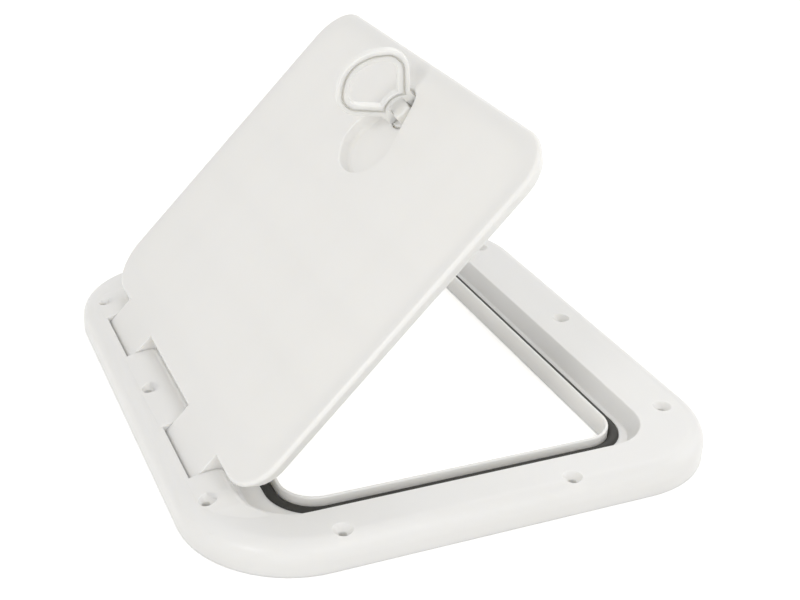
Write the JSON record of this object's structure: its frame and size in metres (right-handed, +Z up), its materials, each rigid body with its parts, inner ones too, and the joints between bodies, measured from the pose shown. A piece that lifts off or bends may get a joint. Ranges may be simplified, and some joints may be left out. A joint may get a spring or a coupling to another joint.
{
  "type": "deck access hatch",
  "caption": "Round-cornered deck access hatch: moulded flange frame with gasket, hinged lid held open, sunk fold-down lift ring and quarter-turn latch.",
  "frame": {"origin": "middle of the frame's footprint, on the face that lies on the deck", "axes": "+X from the hinge side to the latch side, +Y along the hinge, +Z up, away from the deck"},
  "size_m": [0.375, 0.42, 0.255],
  "materials": {
    "white_moulding": "semi-gloss white plastic",
    "white_hub": "glossy white plastic",
    "black_rubber": "matt black rubber",
    "stainless": "satin stainless steel",
    "dark_nylon": "matt black nylon"
  },
  "bodies": {
    "frame_body": {"frame": "white_moulding", "gasket": "black_rubber", "hinge_pin_near": "stainless", "hinge_pin_far": "stainless"},
    "lid_body": {"lid": "white_moulding"},
    "latch_body": {"latch_hub": "white_hub", "hub_o_ring": "black_rubber", "ring_pin": "stainless", "disc_spring": "stainless", "thrust_washer": "stainless", "latch_cam": "dark_nylon", "screw_washer": "stainless", "cam_screw": "stainless"},
    "ring_body": {"lift_ring": "white_hub"}
  },
  "joints": [
    {"name": "lid_hinge", "type": "hinge", "parent": "frame_body", "child": "lid_body", "pos_m": [-0.167, 0, 0.016], "axis": [0, -1, 0], "range_deg": [-46.4, 53.6]},
    {"name": "latch_turn", "type": "hinge", "parent": "lid_body", "child": "latch_body", "pos_m": [0.01575, 0, 0.20791], "axis": [-0.7242, 0, 0.6896], "range_deg": [-74, 16]},
    {"name": "ring_fold", "type": "hinge", "parent": "latch_body", "child": "ring_body", "pos_m": [0.01575, 0, 0.20791], "axis": [0.6629, -0.2756, 0.6961], "range_deg": [-45, 39.5]}
  ]
}
